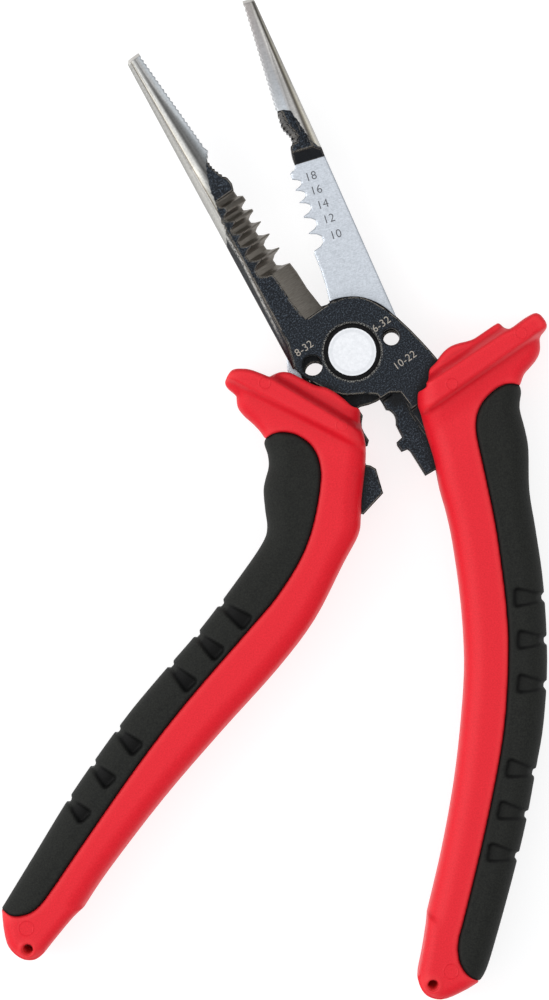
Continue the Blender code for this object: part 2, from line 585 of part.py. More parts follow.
def main():
    front_side = bpy.data.objects.new("front_side", None)
    rear_side = bpy.data.objects.new("rear_side", None)
    for side in (front_side, rear_side):
        side.location.z = -(PLATE + RIVET_PROUD) * MM
        shapers.objects.link(side)

    front_lever(front_side)
    pivot_rivet(front_side)
    rear_lever(rear_side)

    room = socket("right_room", FRONT_PLATE, FRONT_DIE, FRONT_TANG, LAP, PLATE, front_side, FRONT_TURN)
    grip("right_grip", front_side, RIGHT_HANDLE, RIGHT_SEAM, RIGHT_OUTSIDE, RIGHT_GUARD, RIGHT_COLLAR,
         RIGHT_HOLE, room)
    pad("right_grip_pad", front_side, RIGHT_HANDLE, RIGHT_SEAM, RIGHT_OUTSIDE, RIGHT_NOTCHES)

    room = socket("left_room", REAR_PLATE, REAR_DIE, REAR_TANG, -PLATE, -LAP, rear_side, REAR_TURN)
    join(room, post("swing_room", [(POCKET, -CLEAR, PLATE + CLEAR)], (0, 0), rear_side))
    grip("left_grip", rear_side, LEFT_HANDLE, LEFT_SEAM, LEFT_OUTSIDE, LEFT_GUARD, LEFT_COLLAR,
         LEFT_HOLE, room)
    pad("left_grip_pad", rear_side, LEFT_HANDLE, LEFT_SEAM, LEFT_OUTSIDE, LEFT_NOTCHES)


for old in list(bpy.data.objects):
    bpy.data.objects.remove(old)
pieces = collection("wire_stripper")
shapers = collection("shapers")
main()
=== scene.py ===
"""The looks of a combination wire stripper: moulded grips and soft pads, worn and ground steel.

Outlines are in millimetres.  Jaw features are placed in a lever's own frame, where +Y points along
the closed jaws; handles are drawn as the tool lies open.  Heights are from the levers' lap plane.
"""

import math

import bmesh
import bpy
import numpy as np
from mathutils import Matrix, Vector


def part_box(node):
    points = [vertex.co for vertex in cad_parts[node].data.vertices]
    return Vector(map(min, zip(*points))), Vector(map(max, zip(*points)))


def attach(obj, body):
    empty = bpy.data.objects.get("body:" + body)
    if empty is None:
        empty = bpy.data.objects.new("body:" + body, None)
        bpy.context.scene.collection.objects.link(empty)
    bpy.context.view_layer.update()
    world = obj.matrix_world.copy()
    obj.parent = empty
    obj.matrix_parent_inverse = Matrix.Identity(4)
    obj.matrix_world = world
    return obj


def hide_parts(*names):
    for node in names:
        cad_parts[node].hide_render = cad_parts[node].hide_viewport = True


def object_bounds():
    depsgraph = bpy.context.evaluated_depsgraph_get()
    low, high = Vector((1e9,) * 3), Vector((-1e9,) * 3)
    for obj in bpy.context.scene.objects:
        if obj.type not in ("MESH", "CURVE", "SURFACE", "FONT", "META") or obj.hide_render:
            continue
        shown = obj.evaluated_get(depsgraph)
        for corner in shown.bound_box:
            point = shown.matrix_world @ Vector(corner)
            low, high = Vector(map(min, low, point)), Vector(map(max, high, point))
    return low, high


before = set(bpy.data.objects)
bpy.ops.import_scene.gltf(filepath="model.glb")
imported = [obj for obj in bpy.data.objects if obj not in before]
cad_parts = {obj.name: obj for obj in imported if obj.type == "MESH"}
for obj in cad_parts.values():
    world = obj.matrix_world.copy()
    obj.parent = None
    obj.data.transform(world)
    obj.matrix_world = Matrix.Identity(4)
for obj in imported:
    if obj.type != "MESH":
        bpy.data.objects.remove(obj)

cad_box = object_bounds()

MM = 0.001
FRONT_TURN = 35.0            # the front lever's jaw, turned from +Y
REAR_TURN = 17.0             # the rear lever's jaw
rivet_low, rivet_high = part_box("pivot_rivet")
LAP_PLANE = (rivet_low[2] + rivet_high[2]) / 2
PLATE = 5.0                  # thickness of a lever at the joint
GRIP_HALF = 8.0              # half thickness of the handles
PAD_PROUD = 0.3              # how far the pads stand out of the handles
GUARD_HALF = 10.35           # half thickness of the finger guards' ridges
COLLAR_HALF = 7.2            # half thickness of the collars beside the guards
NECK_SUNK = 0.45             # how much thinner a handle is just below its guard
GUARD_FLARE = 0.7            # and how much it swells again at the guard's foot
COLLAR_FALL = 0.05           # how much a collar thins for each millimetre above its guard
HOLE_RADIUS = 1.1            # lanyard holes
HOLE_SLANT = 8.0             # degrees that they lean
HOLE_RING = (1.5, 0.45, 0.35)    # radius, width and height of the ring round them
VOXEL = 0.36                 # grain of the moulded shapes
RED_SEAM_ROUND = 0.5         # rounding of the red beside its pad
BLACK_SEAM_ROUND = 0.7       # and of the pad beside the red
SEAM_STEP = 0.15             # the pad dips by this much at the seam
NOTCH_CORNER = 0.9           # radius of a notch's inner corners
NOTCH_SOFT = 0.16            # half width of a notch's walls
NOTCH_MOUTH_DEPTH = 0.35
MOUTH_DENT = 0.6             # how far a notch bites into the pad's outer side


# Outlines ----------------------------------------------------------------------------------

def smooth(points, steps=4):
    """A curve through the points: a Catmull-Rom spline, read at steps points in each span."""
    ends = [points[0]] + list(points) + [points[-1]]
    found = []
    for before, start, end, after in zip(ends, ends[1:], ends[2:], ends[3:]):
        for i in range(steps):
            t = i / steps
            found.append(tuple(
                0.5 * (2 * b + (c - a) * t + (2 * a - 5 * b + 4 * c - d) * t * t
                       + (3 * b - a - 3 * c + d) * t * t * t)
                for a, b, c, d in zip(before, start, end, after)))
    return found + [points[-1]]


def turned(points, degrees):
    """Points drawn in a lever's frame, as they lie when the tool is open."""
    cos, sin = math.cos(math.radians(degrees)), math.sin(math.radians(degrees))
    return [(x * cos - y * sin, x * sin + y * cos) for x, y in points]


# Each handle's outline, in stretches that are rounded over by different radii.
LEFT = {
    "inner": [(1.75, -12.2), (1.7, -14.0), (2.0, -15.6), (2.5, -17.6), (2.8, -20.0), (2.75, -22.7),
              (2.5, -25.0), (1.9, -30.4), (1.8, -33.6), (1.3, -37.4), (-1.9, -43.5), (-7.7, -54.8),
              (-15.4, -65.0), (-26.9, -77.8), (-38.6, -91.4), (-49.8, -106.0), (-54.8, -113.5)],
    "tail": [(-54.8, -113.5), (-57.3, -115.9), (-61.1, -120.5), (-63.3, -123.2), (-65.3, -124.4),
             (-67.8, -124.0), (-70.2, -121.8), (-71.2, -118.5), (-71.7, -113.8)],
    "outer": [(-71.7, -113.8), (-65.3, -103.3), (-57.4, -90.4), (-47.4, -76.2), (-40.0, -67.1),
              (-31.2, -56.9), (-22.3, -45.0), (-18.3, -39.0), (-17.4, -36.0), (-17.8, -32.5),
              (-18.15, -28.5), (-17.8, -26.2), (-17.1, -23.5), (-17.3, -21.0), (-18.0, -18.9),
              (-17.8, -17.8)],
    "neck": [(-17.8, -17.8), (-18.8, -16.3), (-20.3, -14.7), (-22.2, -13.0), (-23.4, -11.4),
             (-23.7, -9.6)],
    "guard": [(-23.7, -9.6), (-23.75, -8.9), (-25.3, -7.6), (-26.0, -6.6), (-25.8, -5.6), (-25.0, -4.2),
              (-24.1, -3.6), (-22.4, -3.5), (-20.8, -3.7), (-18.8, -4.4), (-16.9, -5.2)],
    "collar": [(-16.9, -5.2), (-16.0, -4.6), (-14.4, -4.1), (-12.7, -4.3), (-10.8, -5.2), (-8.8, -6.3),
               (-7.2, -6.95), (-5.4, -7.3), (-3.5, -8.3), (-1.5, -9.8), (-0.1, -11.1), (1.2, -11.5),
               (1.75, -12.2)],
}
LEFT_SEAM = [(-17.8, -17.8), (-16.5, -16.9), (-14.6, -16.5), (-12.4, -16.7), (-10.5, -17.5), (-8.6, -19.0),
             (-7.2, -21.2), (-6.5, -24.2), (-6.6, -27.5), (-7.5, -33.1), (-9.0, -38.6), (-11.5, -44.0),
             (-15.7, -50.4), (-20.0, -55.5), (-33.8, -71.5), (-43.5, -84.0), (-54.8, -100.2),
             (-61.9, -110.6), (-64.6, -113.8), (-67.2, -115.1), (-69.8, -115.1), (-71.7, -113.8)]
RIGHT = {
    "inner": [(13.4, -8.3), (13.4, -10.9), (14.1, -13.0), (14.9, -16.2), (16.7, -21.8), (18.0, -28.0),
              (19.4, -33.0), (20.7, -39.2), (22.3, -50.7), (23.1, -63.0), (22.5, -74.5), (21.0, -87.8),
              (18.5, -101.7), (15.5, -114.6)],
    "tail": [(15.5, -114.6), (15.25, -117.5), (14.4, -122.8), (13.55, -127.2), (13.8, -129.6),
             (15.2, -131.6), (17.6, -132.45), (20.0, -132.0), (23.7, -130.2), (26.2, -128.6)],
    "outer": [(26.2, -128.6), (27.5, -126.3), (29.2, -120.9), (32.7, -108.2), (35.6, -96.3),
              (37.6, -85.5), (39.2, -76.0), (39.95, -63.0), (39.2, -48.0), (37.6, -36.5), (36.3, -28.4),
              (36.1, -20.0), (35.4, -15.9), (34.3, -11.5), (34.6, -8.4), (34.35, -6.9)],
    "neck": [(34.35, -6.9), (35.1, -4.7), (36.2, -3.4), (37.6, -1.7), (38.4, 0.2), (38.3, 2.6)],
    "guard": [(38.3, 2.6), (38.45, 3.2), (39.5, 4.5), (39.6, 5.6), (39.0, 6.7), (38.0, 7.7), (37.0, 7.8),
              (35.0, 6.7), (33.0, 5.2), (31.9, 4.55)],
    "collar": [(31.9, 4.55), (31.0, 4.9), (30.3, 5.6), (29.5, 5.75), (26.5, 3.75), (24.4, 2.45),
               (21.2, 1.6), (19.3, 0.6), (17.9, -1.0), (17.2, -2.1), (15.8, -3.6), (15.6, -5.7),
               (15.1, -6.4), (15.2, -7.2), (13.4, -8.3)],
}
RIGHT_SEAM = [(34.35, -6.9), (33.0, -6.5), (31.3, -6.7), (29.4, -7.6), (27.4, -9.4), (26.0, -11.5),
              (25.3, -14.2), (25.5, -17.5), (27.2, -25.3), (29.2, -35.0), (30.4, -43.0), (31.5, -52.2),
              (31.9, -62.0), (30.9, -78.0), (27.3, -97.1), (23.1, -114.8), (21.75, -120.0),
              (21.7, -123.5), (22.6, -126.0), (24.3, -127.9), (26.2, -128.6)]

# The two long edges of each guard's ridge: (start, end), with the collar above and handle below.
LEFT_RIDGE = {"upper": ((-16.7, -5.5), (2.7, -17.0)), "lower": ((-17.3, -9.2), (2.3, -19.2))}
RIGHT_RIDGE = {"upper": ((15.7, -6.3), (31.8, 4.3)), "lower": ((16.3, -10.8), (37.6, 3.9))}

# Thumb notches in the pads: (mouth at the pad's outer side, inner end).
LEFT_NOTCHES = [((-26.9, -51.5), (-21.3, -55.6)), ((-31.9, -57.7), (-27.0, -62.0)),
                ((-37.2, -64.0), (-32.7, -68.5)), ((-48.2, -77.2), (-43.7, -81.4)),
                ((-53.2, -84.2), (-49.2, -88.2)), ((-58.0, -91.5), (-54.3, -95.3))]
RIGHT_NOTCHES = [((39.4, -50.2), (33.0, -50.2)), ((39.95, -59.0), (33.7, -58.8)),
                 ((39.9, -68.2), (33.7, -67.7)), ((37.6, -86.1), (31.5, -84.9)),
                 ((36.0, -94.7), (29.8, -93.5)), ((33.9, -103.1), (27.7, -102.1))]
ROUNDING = {"inner": 4.2, "tail": 2.6, "outer": 4.6, "neck": 2.4, "guard": 0.9, "collar": 0.75}
HANDS = {
    "left": {"outline": LEFT, "seam": LEFT_SEAM, "ridge": LEFT_RIDGE, "notches": LEFT_NOTCHES,
             "hole": (-66.3, -122.1), "moulding_marks": [(-17.9, -6.5), (-2.2, -15.1)],
             "tail_mark": (-66.6, -117.7), "body": "rear_side",
             "notch_half": (0.62, 1.77), "notch_depth": 2.1, "notch_shade": 1.0},
    "right": {"outline": RIGHT, "seam": RIGHT_SEAM, "ridge": RIGHT_RIDGE, "notches": RIGHT_NOTCHES,
              "hole": (16.5, -129.4), "moulding_marks": [(20.2, -6.7), (34.3, 3.7)],
              "tail_mark": (20.1, -126.5), "body": "front_side",
              "notch_half": (0.72, 2.02), "notch_depth": 1.35, "notch_shade": 0.25},
}


# Mesh helpers ------------------------------------------------------------------------------

def new_object(name, mesh):
    made = bpy.data.objects.new(name, mesh)
    bpy.context.scene.collection.objects.link(made)
    return made


def evaluated_mesh(obj):
    """The mesh of an object with its modifiers, and the object removed."""
    bpy.context.view_layer.update()
    mesh = bpy.data.meshes.new_from_object(obj.evaluated_get(bpy.context.evaluated_depsgraph_get()))
    bpy.data.objects.remove(obj)
    return mesh


def prism(name, points, half):
    """A flat outline as a solid reaching half above and below the lap plane's height 0."""
    curve = bpy.data.curves.new(name, "CURVE")
    curve.dimensions = "2D"
    curve.fill_mode = "BOTH"
    curve.extrude = half * MM
    spline = curve.splines.new("POLY")
    spline.points.add(len(points) - 1)
    for point, (x, y) in zip(spline.points, points):
        point.co = (x * MM, y * MM, 0, 1)
    spline.use_cyclic_u = True
    mesh = evaluated_mesh(new_object(name, curve))
    body = bmesh.new()
    body.from_mesh(mesh)
    bmesh.ops.remove_doubles(body, verts=body.verts, dist=0.00001)
    bmesh.ops.recalc_face_normals(body, faces=body.faces)
    if body.calc_volume(signed=True) < 0:
        bmesh.ops.reverse_faces(body, faces=body.faces)
    body.to_mesh(mesh)
    body.free()
    return new_object(name, mesh)


def post(name, radius, half, centre):
    body = bmesh.new()
    bmesh.ops.create_cone(body, cap_ends=True, segments=24, radius1=radius * MM, radius2=radius * MM,
                          depth=2 * half * MM)
    bmesh.ops.translate(body, verts=body.verts, vec=(centre[0] * MM, centre[1] * MM, 0))
    mesh = bpy.data.meshes.new(name)
    body.to_mesh(mesh)
    body.free()
    return new_object(name, mesh)


def remeshed(obj, size):
    """The same solid on an even grain of faces."""
    modifier = obj.modifiers.new("grain", "REMESH")
    modifier.mode = "VOXEL"
    modifier.voxel_size = size * MM
    name = obj.name
    return new_object(name, evaluated_mesh(obj))


def coordinates(mesh):
    found = np.empty(len(mesh.vertices) * 3, dtype=np.float32)
    mesh.vertices.foreach_get("co", found)
    return found.reshape(-1, 3).astype(np.float64) / MM


def place(mesh, points):
    mesh.vertices.foreach_set("co", (points * MM).astype(np.float32).ravel())
    mesh.update()


def distance_to(points, line):
    """Distance in plan from each point to a polyline."""
    best = np.full(len(points), 1e9)
    for (ax, ay), (bx, by) in zip(line, line[1:]):
        dx, dy = bx - ax, by - ay
        along = ((points[:, 0] - ax) * dx + (points[:, 1] - ay) * dy) / (dx * dx + dy * dy)
        along = np.clip(along, 0, 1)
        best = np.minimum(best, np.hypot(points[:, 0] - ax - along * dx, points[:, 1] - ay - along * dy))
    return best


def side_of(points, line):
    """Signed distance from a straight line, positive on its left."""
    (ax, ay), (bx, by) = line
    length = math.hypot(bx - ax, by - ay)
    return ((bx - ax) * (points[:, 1] - ay) - (by - ay) * (points[:, 0] - ax)) / length


def ease(value, low, high):
    """0 below low and 1 above high, with a smooth step between."""
    t = np.clip((value - low) / (high - low), 0, 1)
    return t * t * (3 - 2 * t)


def rounded_off(distance, radius):
    """How far a rounded edge has fallen at a distance inside it."""
    inside = np.clip(radius - distance, 0, radius)
    return radius - np.sqrt(np.maximum(radius * radius - inside * inside, 0))


# Grips and pads ----------------------------------------------------------------------------

def handle_height(points, hand):
    """Half the thickness of a handle over each plan point, before its edges are rounded."""
    above = side_of(points, hand["ridge"]["upper"])
    below = -side_of(points, hand["ridge"]["lower"])
    grip = GRIP_HALF - NECK_SUNK * (1 - ease(below, 3.0, 13.0)) + GUARD_FLARE * (1 - ease(below, 0.7, 5.5))
    collar = COLLAR_HALF - COLLAR_FALL * np.clip(above, 0, 12)
    height = GUARD_HALF + (grip - GUARD_HALF) * ease(below, -0.1, 1.25)
    return np.where(above > -0.4, GUARD_HALF + (collar - GUARD_HALF) * ease(above, -0.15, 1.45), height)


def silhouette_fall(points, hand, names):
    """How far the rounding of the named stretches of outline has taken each point down."""
    fall = np.zeros(len(points))
    for name in names:
        line = smooth(hand["outline"][name])
        fall = np.maximum(fall, rounded_off(distance_to(points, line), ROUNDING[name]))
    return fall


def ring(points, centre, radius, width, height):
    """A low ring moulded round a centre."""
    away = np.abs(np.hypot(points[:, 0] - centre[0], points[:, 1] - centre[1]) - radius)
    return height * (1 - ease(away, 0, width))


def softened(obj, rounds):
    modifier = obj.modifiers.new("soften", "SMOOTH")
    modifier.factor = 0.5
    modifier.iterations = rounds
    name = obj.name
    return new_object(name, evaluated_mesh(obj))


def finish_piece(obj, material, body, replaced):
    """Shades a finished piece and hands it to the frame, in place of a CAD node."""
    obj.data.materials.clear()
    obj.data.materials.append(material)
    obj.data.shade_smooth()
    obj.location.z = LAP_PLANE
    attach(obj, body)
    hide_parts(replaced)


def grip(side, material):
    """The rigid red moulding: handle, finger guard and collar, with its seam beside the pad."""
    hand = HANDS[side]
    outline = hand["outline"]
    red = smooth(outline["inner"])[:-1] + smooth(outline["tail"])[:-1]
    red += smooth(hand["seam"])[::-1][:-1]
    red += smooth(outline["neck"])[:-1] + smooth(outline["guard"])[:-1] + smooth(outline["collar"])[:-1]
    body = prism(side + "_grip_moulding", red, GRIP_HALF)
    hole = post("lanyard_hole", HOLE_RADIUS, GRIP_HALF * 2, hand["hole"])
    hole.data.transform(drafted(hand["hole"]))
    cut = body.modifiers.new("hole", "BOOLEAN")
    cut.object = hole
    body = remeshed(body, VOXEL)
    bpy.data.objects.remove(hole)

    points = coordinates(body.data)
    fall = silhouette_fall(points, hand, ("inner", "tail", "neck", "guard", "collar"))
    fall = np.maximum(fall, rounded_off(distance_to(points, smooth(hand["seam"])), RED_SEAM_ROUND))
    height = handle_height(points, hand) - fall + ring(points, hand["hole"], *HOLE_RING)
    points[:, 2] *= height / GRIP_HALF
    place(body.data, points)
    finish_piece(softened(body, 2), material, hand["body"], side + "_grip")


def drafted(centre):
    """The slight slant of a lanyard hole, which keeps its front mouth in place."""
    x, y = centre[0] * MM, centre[1] * MM
    front = GRIP_HALF * MM
    slant = Matrix.Rotation(math.radians(HOLE_SLANT), 4, (-y, x, 0))
    return Matrix.Translation((x, y, front)) @ slant @ Matrix.Translation((-x, -y, -front))


def notch_shape(points, mouth, inner, hand):
    """One notch over each plan point: its depth, its painted shade, and its bite into the outer side."""
    length = math.dist(mouth, inner)
    ux, uy = (inner[0] - mouth[0]) / length, (inner[1] - mouth[1]) / length
    dx, dy = points[:, 0] - mouth[0], points[:, 1] - mouth[1]
    along, across = dx * ux + dy * uy, np.abs(dx * -uy + dy * ux)
    share = np.clip(along / length, 0, 1)
    narrow, wide = hand["notch_half"]
    half_width = narrow + (wide - narrow) * share

    corner_along = np.clip(along - (length - NOTCH_CORNER), 0, None)
    corner_across = np.clip(across - half_width + NOTCH_CORNER, 0, None)
    outside = np.maximum(across - half_width, np.hypot(corner_across, corner_along) - NOTCH_CORNER)
    outside = np.maximum(outside, along - length)
    inside = 1 - ease(outside, -NOTCH_SOFT, NOTCH_SOFT)
    depth = inside * (NOTCH_MOUTH_DEPTH + (hand["notch_depth"] - NOTCH_MOUTH_DEPTH) * share)

    # painted shade: a dark line along the notch's walls and darkness over its floor
    wall_shade = 1 - ease(np.abs(outside + 0.1), 0.12, 0.5)
    dark = np.maximum(wall_shade, inside * hand["notch_shade"]) * ease(along, 0.8, 2.0)
    dent = MOUTH_DENT * (1 - ease(across, 0.45, 1.0)) * (1 - ease(along, 0.5, 2.5))
    return depth, dark, np.outer(dent, (ux, uy))


def pad(side, material):
    """The soft black pad, with six notches across its outer side."""
    hand = HANDS[side]
    black = smooth(hand["outline"]["outer"])[:-1] + smooth(hand["seam"])[:-1]
    body = remeshed(prism(side + "_pad_moulding", black, GRIP_HALF), VOXEL)
    points = coordinates(body.data)
    seam = distance_to(points, smooth(hand["seam"]))
    fall = np.maximum(silhouette_fall(points, hand, ("outer",)),
                      rounded_off(seam, BLACK_SEAM_ROUND) + SEAM_STEP * (1 - ease(seam, 0, 0.6)))
    height = handle_height(points, hand) + PAD_PROUD - fall
    # painted shade: a dark line along the seam beside the red
    dark = 0.9 * (1 - ease(seam, 0.15, 0.5))
    moved = np.zeros((len(points), 2))
    for mouth, inner in hand["notches"]:
        depth, notch_shade, bite = notch_shape(points, mouth, inner, hand)
        height -= depth
        dark = np.maximum(dark, notch_shade)
        moved += bite
    # the painted shade is kept on the mesh as the notch attribute
    shade = body.data.attributes.new("notch", "FLOAT", "POINT")
    shade.data.foreach_set("value", dark.astype(np.float32))
    points[:, 2] *= height / GRIP_HALF
    points[:, :2] += moved
    place(body.data, points)
    finish_piece(softened(body, 1), material, hand["body"], side + "_grip_pad")


# Materials ---------------------------------------------------------------------------------

class Shader:
    """A Principled material, with short calls for the nodes that feed it."""

    def __init__(self, name):
        self.material = bpy.data.materials.new(name)
        self.material.use_nodes = True
        self.tree = self.material.node_tree
        self.principled = self.tree.nodes["Principled BSDF"]
        self.texture = self.add("ShaderNodeTexCoord")

    def add(self, kind, **settings):
        node = self.tree.nodes.new(kind)
        for key, value in settings.items():
            setattr(node, key, value)
        return node

    def feed(self, socket, value):
        if isinstance(value, bpy.types.NodeSocket):
            self.tree.links.new(value, socket)
        elif isinstance(value, tuple) and len(value) == 3 and socket.type == "RGBA":
            socket.default_value = (*value, 1)
        else:
            socket.default_value = value

    def set(self, name, value):
        self.feed(self.principled.inputs[name], value)

    # Places and directions

    def lever(self, degrees):
        """Position in millimetres in a lever's frame, from the lap plane."""
        mapping = self.add("ShaderNodeMapping")
        self.feed(mapping.inputs["Vector"], self.texture.outputs["Object"])
        mapping.inputs["Location"].default_value = (0, 0, -LAP_PLANE / MM)
        mapping.inputs["Rotation"].default_value = (0, 0, -math.radians(degrees))
        mapping.inputs["Scale"].default_value = (1 / MM, 1 / MM, 1 / MM)
        return mapping.outputs["Vector"]

    def normal(self, degrees):
        """The surface's direction in a lever's frame."""
        mapping = self.add("ShaderNodeMapping", vector_type="VECTOR")
        self.feed(mapping.inputs["Vector"], self.texture.outputs["Normal"])
        mapping.inputs["Rotation"].default_value = (0, 0, -math.radians(degrees))
        return mapping.outputs["Vector"]

    def scaled(self, vector, scale):
        mapping = self.add("ShaderNodeMapping")
        self.feed(mapping.inputs["Vector"], vector)
        mapping.inputs["Scale"].default_value = scale
        return mapping.outputs["Vector"]

    def split(self, vector):
        node = self.add("ShaderNodeSeparateXYZ")
        self.feed(node.inputs[0], vector)
        return node.outputs

    # Numbers

    def math(self, operation, *values):
        node = self.add("ShaderNodeMath", operation=operation)
        for socket, value in zip(node.inputs, values):
            self.feed(socket, value)
        return node.outputs[0]

    def times(self, *values):
        found = values[0]
        for value in values[1:]:
            found = self.math("MULTIPLY", found, value)
        return found

    def most(self, *values):
        found = values[0]
        for value in values[1:]:
            found = self.math("MAXIMUM", found, value)
        return found

    def inverse(self, value):
        return self.math("SUBTRACT", 1.0, value)

    def away(self, x, y, centre=(0.0, 0.0)):
        """Distance in plan from a centre."""
        dx, dy = self.math("SUBTRACT", x, centre[0]), self.math("SUBTRACT", y, centre[1])
        return self.math("SQRT", self.math("ADD", self.times(dx, dx), self.times(dy, dy)))

    def over(self, value, edge, soft=0.1):
        """1 where a value is over an edge, fading to 0 below it."""
        node = self.add("ShaderNodeMapRange", interpolation_type="SMOOTHSTEP")
        self.feed(node.inputs["Value"], self.math("SUBTRACT", value, edge))
        node.inputs["From Min"].default_value = -soft
        node.inputs["From Max"].default_value = soft
        return node.outputs["Result"]

    def under(self, value, edge, soft=0.1):
        return self.inverse(self.over(value, edge, soft))

    def near(self, value, middle, reach, soft=0.1):
        """1 where a value is within reach of a middle one."""
        return self.under(self.math("ABSOLUTE", self.math("SUBTRACT", value, middle)), reach, soft)

    def noise(self, vector, scale, detail=2.0, rough=0.5):
        node = self.add("ShaderNodeTexNoise")
        self.feed(node.inputs["Vector"], vector)
        node.inputs["Scale"].default_value = scale
        node.inputs["Detail"].default_value = detail
        node.inputs["Roughness"].default_value = rough
        return node.outputs["Fac"]

    def follow(self, value, *stops):
        """A number read off straight lines between (value, number) stops, lowest value first."""
        low, high = stops[0][0], stops[-1][0]
        least, most = min(n for _, n in stops), max(n for _, n in stops)
        spread = self.add("ShaderNodeMapRange")
        self.feed(spread.inputs["Value"], value)
        spread.inputs["From Min"].default_value = low
        spread.inputs["From Max"].default_value = high
        places = [(at - low) / (high - low) for at, _ in stops]
        greys = [((number - least) / (most - least),) * 3 for _, number in stops]
        grey = self.ramp(spread.outputs["Result"], *zip(places, greys))
        return self.math("MULTIPLY_ADD", grey, most - least, least)

    def blend(self, factor, first, second):
        """A number between two numbers."""
        node = self.add("ShaderNodeMix", data_type="FLOAT")
        self.feed(node.inputs["Factor"], factor)
        values = [socket for socket in node.inputs if socket.type == "VALUE"][1:]
        self.feed(values[0], first)
        self.feed(values[1], second)
        return [socket for socket in node.outputs if socket.type == "VALUE"][0]

    # Colours

    def ramp(self, value, *stops):
        """A colour ramp: stops are (place, colour)."""
        node = self.add("ShaderNodeValToRGB")
        while len(node.color_ramp.elements) < len(stops):
            node.color_ramp.elements.new(0.5)
        for element, (place_at, color) in zip(node.color_ramp.elements, stops):
            element.position = place_at
            element.color = (*color, 1)
        self.feed(node.inputs[0], value)
        return node.outputs["Color"]

    def mix(self, factor, first, second):
        node = self.add("ShaderNodeMix", data_type="RGBA")
        self.feed(node.inputs["Factor"], factor)
        colors = [socket for socket in node.inputs if socket.type == "RGBA"]
        self.feed(colors[0], first)
        self.feed(colors[1], second)
        return [socket for socket in node.outputs if socket.type == "RGBA"][0]

    def shade(self, color, factor):
        """A colour made lighter or darker by a factor."""
        node = self.add("ShaderNodeVectorMath", operation="SCALE")
        self.feed(node.inputs[0], color)
        self.feed(node.inputs["Scale"], factor)
        return node.outputs["Vector"]

    # The shape round a point

    def shut_in(self, reach, inside=False):
        """1 in the open, falling in a hollow; or, looking inside, falling along a crest."""
        node = self.add("ShaderNodeAmbientOcclusion", samples=8, inside=inside)
        node.inputs["Distance"].default_value = reach * MM
        return node.outputs["AO"]

    def edges(self, radius):
        """Masks for a solid's edges: a line just inside them and a rim up to them, and a rounded normal."""
        node = self.add("ShaderNodeBevel", samples=8)
        node.inputs["Radius"].default_value = radius * MM
        flat = self.add("ShaderNodeNewGeometry").outputs["Normal"]
        dot = self.add("ShaderNodeVectorMath", operation="DOT_PRODUCT")
        self.feed(dot.inputs[0], node.outputs["Normal"])
        self.feed(dot.inputs[1], flat)
        flatness = dot.outputs["Value"]
        nearest = self.under(flatness, 0.95, 0.012)
        line = self.math("SUBTRACT", self.under(flatness, 0.985, 0.006), nearest)
        return line, self.under(flatness, 0.972, 0.012), self.mix(0.5, node.outputs["Normal"], flat)

    def bump(self, height, strength, distance, normal=None):
        node = self.add("ShaderNodeBump")
        if normal:
            self.feed(node.inputs["Normal"], normal)
        node.inputs["Strength"].default_value = strength
        node.inputs["Distance"].default_value = distance
        self.feed(node.inputs["Height"], height)
        self.feed(self.principled.inputs["Normal"], node.outputs["Normal"])


# Colours of the red moulding, linear.
RED_DEEP = (0.67, 0.003, 0.012)
RED_PALE = (0.84, 0.012, 0.027)
RED_MIDDLE = (0.77, 0.008, 0.021)
# painted shade for creases and hollows
RED_CREASE_SHADE = (0.44, 0.001, 0.007)
RED_WALL_SHADE = (0.42, 0.001, 0.007)       # painted shade on walls that face the jaws
RED_SIDE_LIGHT = (0.95, 0.16, 0.17)         # painted light on walls facing away from the jaws, as if off the ground
# painted highlight along the crests
RED_CREST_HIGHLIGHT = (0.90, 0.05, 0.055)
# painted light inside the lanyard holes
RED_BORE_LIGHT = (0.98, 0.07, 0.08)
SIDE_WAY = (0.78, -0.62)              # the way the walls with painted light face
CREASE_REACH = 3.2                    # millimetres over which the painted crease shade reaches
CREST_HIGHLIGHT_REACH = 2.2
BORE_REACH = 3.4                      # covers a slanting lanyard hole from end to end
SMALL_MARK, LARGE_MARK = 1.15, 1.5    # radii of the mould's round marks
MARK_LINE = 0.1


def ring_marks(s, x, y, centres, radius):
    """Raised rings left by the mould, as a height."""
    found = 0.0
    for centre in centres:
        found = s.math("ADD", found, s.near(s.away(x, y, centre), radius, MARK_LINE))
    return found


